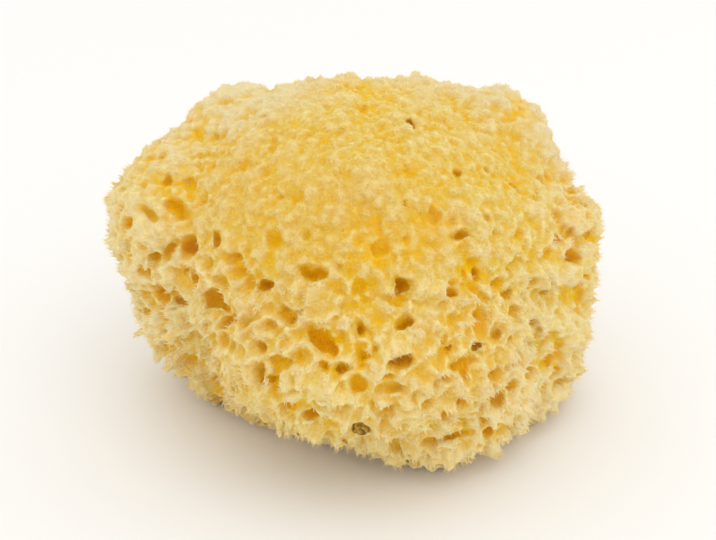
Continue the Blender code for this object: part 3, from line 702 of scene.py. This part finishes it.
def fibreTree():
    tree, add, given = newTree("Fibres", {**fuzz, **everyFibre, "Material": "Material"})
    # where: not too deep in, most on the crests, on the top or in this quarter of the sides
    depth, lip, onFelt = (
        add("GeometryNodeInputNamedAttribute", name) for name in ("depth", "lip", "felt"))
    shallow = add("ShaderNodeMapRange", depth, (given, "Deepest"), 1.0)
    proud = add("ShaderNodeMapRange", lip, (given, "Lip From"), (given, "Lip Full"))
    place = add("GeometryNodeInputPosition")
    around = add("ShaderNodeVectorMath", place, (given, "Middle"), operation="SUBTRACT")
    split = add("ShaderNodeSeparateXYZ", around)
    angle = add("ShaderNodeMath", (split, "Y"), (split, "X"), operation="ARCTAN2")
    # in quarters of a turn, the first one round X, and 4 more so that none is below 0
    quarters = add("ShaderNodeMath", angle, 2 / math.pi, 4.5, operation="MULTIPLY_ADD")
    whole = add("ShaderNodeMath", quarters, operation="FLOOR")
    quarter = add("ShaderNodeMath", whole, 4.0, operation="FLOORED_MODULO")
    here = add("FunctionNodeCompare", quarter, (given, "Sector"), {"Epsilon": 0.1}, operation="EQUAL")
    noSector = add("FunctionNodeCompare", {
        "A": (given, "Sector"), "B": 0}, data_type="INT", operation="LESS_THAN")
    anywhere = add("FunctionNodeBooleanMath", here, noSector, operation="OR")
    isTop = add("FunctionNodeCompare", onFelt, 0.5)
    topToo = add("FunctionNodeBooleanMath", isTop, (given, "Top"))
    offTop = add("FunctionNodeBooleanMath", (given, "Off Top"), isTop, operation="NIMPLY")
    level = add("FunctionNodeBooleanMath", topToo, offTop, operation="OR")
    wanted = add("FunctionNodeBooleanMath", level, anywhere)
    height = add("ShaderNodeSeparateXYZ", place)
    offCut = add("FunctionNodeCompare", (height, "Z"), (given, "Lowest"))
    chosen = add("FunctionNodeBooleanMath", wanted, offCut)
    both = add("ShaderNodeMath", shallow, proud, operation="MULTIPLY")
    density = add("ShaderNodeMath", both, (given, "Density"), operation="MULTIPLY")
    spread = add("GeometryNodeDistributePointsOnFaces", given, chosen, {
        "Density": density, "Seed": (given, "Seed")})
    # which way: along the surface's normal and out from the middle, pulled aside with its neighbours
    away = add("ShaderNodeVectorMath", around, operation="NORMALIZE")
    anyWay = add("FunctionNodeRandomValue", (-1, -1, -1), (1, 1, 1), {
        "Seed": (given, "Seed")}, data_type="FLOAT_VECTOR")
    way = noiseVector(add, (given, "Clump Size"), (given, "Lean"), seed=2.3)
    for part, share in ((anyWay, "Stray"), ((spread, "Normal"), "Stand"), (away, "Out")):
        pull = add("ShaderNodeVectorMath", part, {"Scale": (given, share)}, operation="SCALE")
        way = add("ShaderNodeVectorMath", way, pull)
    upright = add("FunctionNodeAlignRotationToVector", {"Vector": way})
    spin = add("FunctionNodeRandomValue", {"Max": math.tau, "Seed": (given, "Seed")})
    about = add("FunctionNodeAxisAngleToRotation", (0, 0, 1), spin)
    turned = add("FunctionNodeRotateRotation", upright, about, rotation_space="LOCAL")
    # how many and how large: longer where the surface stands proud
    count = add("GeometryNodeAttributeDomainSize", spread, component="POINTCLOUD")
    share = add("ShaderNodeMath", (given, "Most"), count, operation="DIVIDE")
    lot = add("FunctionNodeRandomValue", {"ID": add("GeometryNodeInputIndex"), "Seed": 5})
    left = add("FunctionNodeCompare", lot, share)
    thinned = add("GeometryNodeDeleteGeometry", spread, left)
    tint = add("FunctionNodeRandomValue", {"Seed": (given, "Seed")})
    marked = add("GeometryNodeStoreNamedAttribute", thinned, {"Name": "tint", "Value": tint})
    standing = add("ShaderNodeMapRange", lip, (given, "Lip Short"), (given, "Lip Long"))
    chance = add("FunctionNodeRandomValue", {"Min": (given, "Less"), "Max": (given, "More"), "Seed": 3})
    grow = add("ShaderNodeMath", standing, chance, use_clamp=True)
    length = add("ShaderNodeMix", grow, {"A": (given, "Shortest"), "B": (given, "Longest")})
    width = add("ShaderNodeMix", tint, {"A": (given, "Thinnest"), "B": (given, "Thickest")})
    thick = add("ShaderNodeMath", width, (given, "Flat"), operation="MULTIPLY")
    size = add("ShaderNodeCombineXYZ", thick, width, length)
    # the spike itself: three-sided, closed, bent where it has segments
    cone = add("GeometryNodeMeshCone", 3, (given, "Segments"), {"Depth": 1.0})
    parts = add("ShaderNodeSeparateXYZ", add("GeometryNodeInputPosition"))
    squared = add("ShaderNodeMath", (parts, "Z"), 2.0, operation="POWER")
    over = add("ShaderNodeMath", squared, (given, "Bend"), operation="MULTIPLY")
    slender = add("ShaderNodeMath", (given, "Longest"), (given, "Thickest"), operation="DIVIDE")
    thinner = add("ShaderNodeMath", slender, (given, "Flat"), operation="DIVIDE")
    overWide = add("ShaderNodeMath", over, thinner, operation="MULTIPLY")
    x = add("ShaderNodeMath", (parts, "X"), overWide)
    z = add("ShaderNodeMath", (parts, "Z"), (given, "Sink"), operation="SUBTRACT")
    shape = add("ShaderNodeCombineXYZ", x, (parts, "Y"), z)
    bent = add("GeometryNodeSetPosition", cone, {"Position": shape})
    spike = add("GeometryNodeStoreNamedAttribute", bent, {"Name": "along", "Value": (parts, "Z")})
    placed = add("GeometryNodeInstanceOnPoints", marked, {
        "Instance": spike, "Rotation": turned, "Scale": size})
    solid = add("GeometryNodeRealizeInstances", placed)
    return endTree(tree, add("GeometryNodeSetMaterial", solid, {"Material": (given, "Material")}))


def makeFibres(skeleton, material):
    tree = fibreTree()
    kinds = [("tongues", tongues, -1), ("fuzz", fuzz, -1)]
    kinds += [("wisps" + name, wisps, k) for k, name in enumerate(sectors)]
    made = []
    for k, (name, kind, sector) in enumerate(kinds):
        item = putInScene(name, skeleton.data)
        useTree(item, tree, {
            **everyFibre, **kind, "Sector": sector, "Seed": everyFibre["Seed"] + k, "Material": material})
        mesh = finalMesh(item)
        mesh.shade_flat()
        tell(f"{name}: {countTriangles(mesh)} triangles")
        made.append(putInScene(name, mesh))
    return made


# Colours of washed and sun-bleached spongin, by depth in mm under the envelope; the gold that deepens with
# depth is painted shade in the recesses, for their shade and the light through their thin walls.
colours = {
    # the skin's own colour at depth 0, then painted shade that grows more golden with depth
    "colourAndPaintedShadeByDepth": [(0.0, "#f1dc98"), (1.6, "#edd073"), (3.0, "#eec64c"), (4.3, "#fbc40a"), (8.0, "#ffbb00")],
    "deepest": 12.0,
    "feltDeeper": 0.5,  # mm by which the felt counts as deeper than it is
    "mottleSize": 3.2, "mottle": 0.7,  # mm of depth by which the colour comes and goes
    "streakSize": 0.8, "streak": 1.3, "streakLength": 8.0,
    "streakRound": 50,  # radius of the ball that the streaks are drawn on
    "patchSize": 8.0, "patch": 0.4, "patchFrom": (0.5, 0.68),  # patches of felt count as deeper
    "driftSize": 22.0, "drift": 0.35, "driftFrom": (0.45, 0.7), "warm": "#ecbe60",
    "lipOnFelt": 0.5,  # share of the painted highlight on lips and painted shade in recesses that the felt shows
    "paintedLipHighlightAndShade": [(-0.5, 0.35, "#f6c830"), (0.5, 0.55, "#f5e6b8")],  # painted shade in the hollows and painted highlight on the crests, by mm below and above what is round it
    "lipLightAndShadeFrom": 0.1,  # share of those mm where the painted colour starts
    "fibre": "#fae6ac", "paintedFibreLightShare": 0.25,  # painted light: a lone fibre is paler than the skin, for the light that passes through a thin fibre
    # painted highlight at the fibre tips
    "tip": "#f8e4ac",
    "roundPatchDepth": (0.8, 2.6),  # the patches below fade out between these depths
    "roundPatchHeart": 0.3,  # share of a patch's radius where it is full
    # patches that fade out round a point, painted light on the pale ones, painted shade on the tan one and
    # a golden one on the brow: middle, radius, colour, strength
    "paintedLightShadeAndGoldPatches": {
        "painted light on right shoulder": ((68, -5, 58), 40, "#f3e2ae", 0.35),
        "painted light on back right": ((52, 40, 86), 44, "#ebdebc", 0.8),
        "painted light on back left": ((-42, 28, 86), 40, "#eee2bf", 0.7),
        # painted shade low on the left, where less light reaches from below
        "painted shade on foot left": ((-34, -12, 4), 38, "#d2a862", 0.35),
        # painted fill light on the lower right, where the faces turn down
        "painted fill light on foot right": ((46, -28, 12), 40, "#f9ebc2", 0.55),
        "painted light on crown": ((2, 44, 94), 50, "#efdfb2", 0.6),
        "painted light on left side": ((-70, -4, 46), 44, "#f3e4bc", 0.5),
        "golden brow": ((-10, -34, 70), 44, "#ebba40", 0.3),
    },
    "rim": "#cb9c58", "rimHeight": 10.0, "rimShare": 0.85,  # browner towards the bottom, fading out over rimHeight mm above the cut
}


def hexColour(code):
    # an sRGB hex colour as linear values
    parts = [int(code[i:i + 2], 16) / 255 for i in (1, 3, 5)]
    return (*((c / 12.92 if c <= 0.04045 else ((c + 0.055) / 1.055) ** 2.4) for c in parts), 1.0)


def startMaterial(name):
    material = bpy.data.materials.new(name)
    material.use_nodes = True
    tree = material.node_tree
    return material, partial(addNode, tree), tree.nodes["Principled BSDF"]


def setStops(ramp, stops):
    elements = ramp.color_ramp.elements
    while len(elements) < len(stops):
        elements.new(0.5)
    for element, (at, code) in zip(elements, stops):
        element.position = at
        element.color = hexColour(code)


def streakWave(add):
    # noise drawn out along the way the sponge grew, outwards from its middle, as its fibres run
    where = add("ShaderNodeTexCoord")
    out = add("ShaderNodeVectorMath", (where, "Object"), everyFibre["Middle"], operation="SUBTRACT")
    far = add("ShaderNodeVectorMath", out, operation="LENGTH")
    ray = add("ShaderNodeVectorMath", out, operation="NORMALIZE")
    ball = add("ShaderNodeVectorMath", ray, {"Scale": colours["streakRound"] * mm}, operation="SCALE")
    short = add("ShaderNodeMath", far, colours["streakLength"], operation="DIVIDE")
    drawn = add("ShaderNodeVectorMath", ball, add("ShaderNodeCombineXYZ", short, short, short))
    return add("ShaderNodeTexNoise", drawn, {"Scale": 1 / (colours["streakSize"] * mm), "Roughness": 0.6})


def swing(add, wave, amount):
    # a noise as a value from about -amount to amount
    return add("ShaderNodeMapRange", wave, *noiseSpan, -amount, amount, clamp=False)


def skinColour(add):
    # the skin's colour with painted shade that turns more golden with depth, painted highlight on the lips
    # and painted shade in the hollows beside them, patches of painted light and shade and a golden one,
    # browner towards the bottom, and drifts of warmer colour
    depth, lip, top = (
        add("ShaderNodeAttribute", attribute_name=name) for name in ("depth", "lip", "felt"))
    where = add("ShaderNodeTexCoord")
    mottle, patches, drift = (
        add("ShaderNodeTexNoise", (where, "Object"), {
            "Scale": 1 / (colours[name] * mm), "Detail": detail, "Roughness": rough})
        for name, detail, rough in (
            ("mottleSize", 2.0, 0.6), ("patchSize", 2.0, 0.6), ("driftSize", 1.0, 0.5)))
    golden = add("ShaderNodeMapRange", patches, *colours["patchFrom"], 0.0, colours["patch"])
    golden = add("ShaderNodeMath", golden, (top, "Fac"), operation="MULTIPLY")
    streak = swing(add, streakWave(add), colours["streak"])
    moved = add(
        "ShaderNodeMath", (top, "Fac"), colours["feltDeeper"], (depth, "Fac"), operation="MULTIPLY_ADD")
    for change in (swing(add, mottle, colours["mottle"]), streak, golden):
        moved = add("ShaderNodeMath", moved, change)
    # painted shade: the deeper under the envelope, the more golden
    ramp = add("ShaderNodeValToRGB", add("ShaderNodeMath", moved, colours["deepest"], operation="DIVIDE"))
    setStops(ramp, [(at / colours["deepest"], code) for at, code in colours["colourAndPaintedShadeByDepth"]])

    warm = add("ShaderNodeMapRange", drift, *colours["driftFrom"], 0.0, colours["drift"])
    layers = [(warm, colours["warm"])]
    outer = add("ShaderNodeMapRange", (depth, "Fac"), *colours["roundPatchDepth"], 1.0, 0.0)
    # painted light and shade in patches round a point, on the outer skin only
    for middle, radius, code, strength in colours["paintedLightShadeAndGoldPatches"].values():
        place = tuple(part * mm for part in middle)
        far = add("ShaderNodeVectorMath", (where, "Object"), place, operation="DISTANCE")
        near = add(
            "ShaderNodeMapRange", far, radius * mm, colours["roundPatchHeart"] * radius * mm, 0.0, strength,
            interpolation_type="SMOOTHSTEP")
        layers.append((add("ShaderNodeMath", near, outer, operation="MULTIPLY"), code))
    height = add("ShaderNodeSeparateXYZ", (where, "Object"))
    # browner towards the bottom
    rim = add(
        "ShaderNodeMapRange", (height, "Z"), colours["rimHeight"] * mm, 0.0, 0.0, colours["rimShare"],
        interpolation_type="SMOOTHSTEP")
    layers.append((rim, colours["rim"]))
    offFelt = add("ShaderNodeMapRange", (top, "Fac"), {"To Min": 1.0, "To Max": colours["lipOnFelt"]})
    # painted shade in the hollows and painted highlight on the crests, less of both on the felt
    for full, most, code in colours["paintedLipHighlightAndShade"]:
        share = add("ShaderNodeMapRange", (lip, "Fac"), colours["lipLightAndShadeFrom"] * full, full, 0.0, most)
        layers.append((add("ShaderNodeMath", share, offFelt, operation="MULTIPLY"), code))
    tinted = ramp
    for share, code in layers:
        tinted = add("ShaderNodeMix", share, {"A": tinted, "B": hexColour(code)}, data_type="RGBA")
    return tinted


skinFinish = {
    "fibreSize": 0.7, "streakShare": 1.8, "bump": 0.5,  # coarser than real fibres, so as to show
    "glow": 2.0,  # how far light goes in, blue least of all
}


def sponginSkin():
    # spongin, washed and sun bleached: matt, soft-looking horn that glows gold where light goes through it
    material, add, shader = startMaterial("spongin, washed and sun bleached")
    where = add("ShaderNodeTexCoord")
    fibre = add("ShaderNodeTexNoise", (where, "Object"), {
        "Scale": 1 / (skinFinish["fibreSize"] * mm), "Detail": 3.0, "Roughness": 0.65})
    streak = streakWave(add)
    both = add("ShaderNodeMath", streak, skinFinish["streakShare"], fibre, operation="MULTIPLY_ADD")
    bump = add("ShaderNodeBump", {"Distance": skinFinish["bump"] * mm, "Height": both})
    # its base colour holds the painted shade and painted highlight from skinColour
    setInputs(shader, {
        "Base Color": skinColour(add), "Roughness": 0.9, "Specular IOR Level": 0.12, "Normal": bump,
        "Subsurface Weight": 0.9, "Subsurface Scale": skinFinish["glow"] * mm,
        "Subsurface Radius": (1.0, 0.94, 0.32)})
    return material


def sponginFibre():
    # spongin fibres, frayed: painted paler than the skin, most of all at their tips, as painted light for
    # the light that thin fibres let through and scatter
    material, add, shader = startMaterial("spongin fibres, frayed")
    along, tint = (add("ShaderNodeAttribute", attribute_name=name) for name in ("along", "tint"))
    # painted highlight, palest at the tips
    pale = add("ShaderNodeMath", (along, "Fac"), (tint, "Fac"), operation="MULTIPLY", use_clamp=True)
    colour = skinColour(add)
    for share, code in ((colours["paintedFibreLightShare"], colours["fibre"]), (pale, colours["tip"])):
        colour = add("ShaderNodeMix", share, {"A": colour, "B": hexColour(code)}, data_type="RGBA")
    setInputs(shader, {"Base Color": colour, "Roughness": 0.8, "Specular IOR Level": 0.12})
    return material


barkFinish = {
    "grain": 1.3, "bump": 0.3,
    "byGrain": [(0.36, "#6b4416"), (0.46, "#9c7c22"), (0.62, "#c09a3c")],
}


def gritBark():
    # crumbs of grit and bark, weathered: dull olive brown specks that the wash has left
    material, add, shader = startMaterial("crumbs of grit and bark, weathered")
    where = add("ShaderNodeTexCoord")
    grain = add("ShaderNodeTexNoise", (where, "Object"), {
        "Scale": 1 / (barkFinish["grain"] * mm), "Detail": 3.0, "Roughness": 0.6})
    ramp = add("ShaderNodeValToRGB", grain)
    setStops(ramp, barkFinish["byGrain"])
    bump = add("ShaderNodeBump", {"Distance": barkFinish["bump"] * mm, "Height": grain})
    setInputs(shader, {"Base Color": ramp, "Roughness": 0.8, "Specular IOR Level": 0.3, "Normal": bump})
    return material


# Studio: a pale floor, a white surround and one large soft lamp above and to the right.
studio = {
    "floor": "#f7f6f3", "floorSize": 6.0,  # metres
    "surround": "#ffffff", "surroundStrength": 1.0,
    "lampAt": (0.25, -0.42, 0.98), "lampSize": 0.8, "lampPower": 1.68,  # metres and watts
}


def aim(name, data, place, target):
    # a lamp or camera that looks from its place at the target
    item = putInScene(name, data)
    item.location = place
    item.rotation_euler = (target - place).to_track_quat("-Z", "Y").to_euler()
    return item


def makeStudio():
    floor = putInScene("floor", shapeMesh(
        "floor", bmesh.ops.create_grid, x_segments=1, y_segments=1, size=studio["floorSize"] / 2))
    material, _, shader = startMaterial("matt white studio board")
    setInputs(shader, {
        "Base Color": hexColour(studio["floor"]), "Roughness": 0.9, "Specular IOR Level": 0.1})
    floor.data.materials.append(material)

    world = bpy.data.worlds.new("surround")
    bpy.context.scene.world = world
    world.use_nodes = True
    setInputs(world.node_tree.nodes["Background"], {
        "Color": hexColour(studio["surround"]), "Strength": studio["surroundStrength"]})

    lamp = bpy.data.lights.new("softbox", "AREA")
    lamp.shape = "SQUARE"
    lamp.size = studio["lampSize"]
    lamp.energy = studio["lampPower"]
    target, eye, _, _ = sightFrame()
    aim("softbox", lamp, Vector(studio["lampAt"]), target)

    camera = bpy.data.cameras.new("camera")
    camera.lens = sight["lens"]
    camera.sensor_width = sight["film"]
    camera.sensor_fit = "HORIZONTAL"
    camera.clip_start = 0.01
    bpy.context.scene.camera = aim("camera", camera, eye, target)
    bpy.context.scene.view_settings.view_transform = "Standard"
    tell("studio set")


makeStudio()
skeleton = makeSkeleton()
skeleton.data.materials.clear()
skeleton.data.materials.append(sponginSkin())
fibres = makeFibres(skeleton, sponginFibre())

crumbs = makeGrit(skeleton, gritBark())

for piece in [skeleton, crumbs, *fibres]:
    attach(piece, "root")
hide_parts("sponge")

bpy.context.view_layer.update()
tell("done")
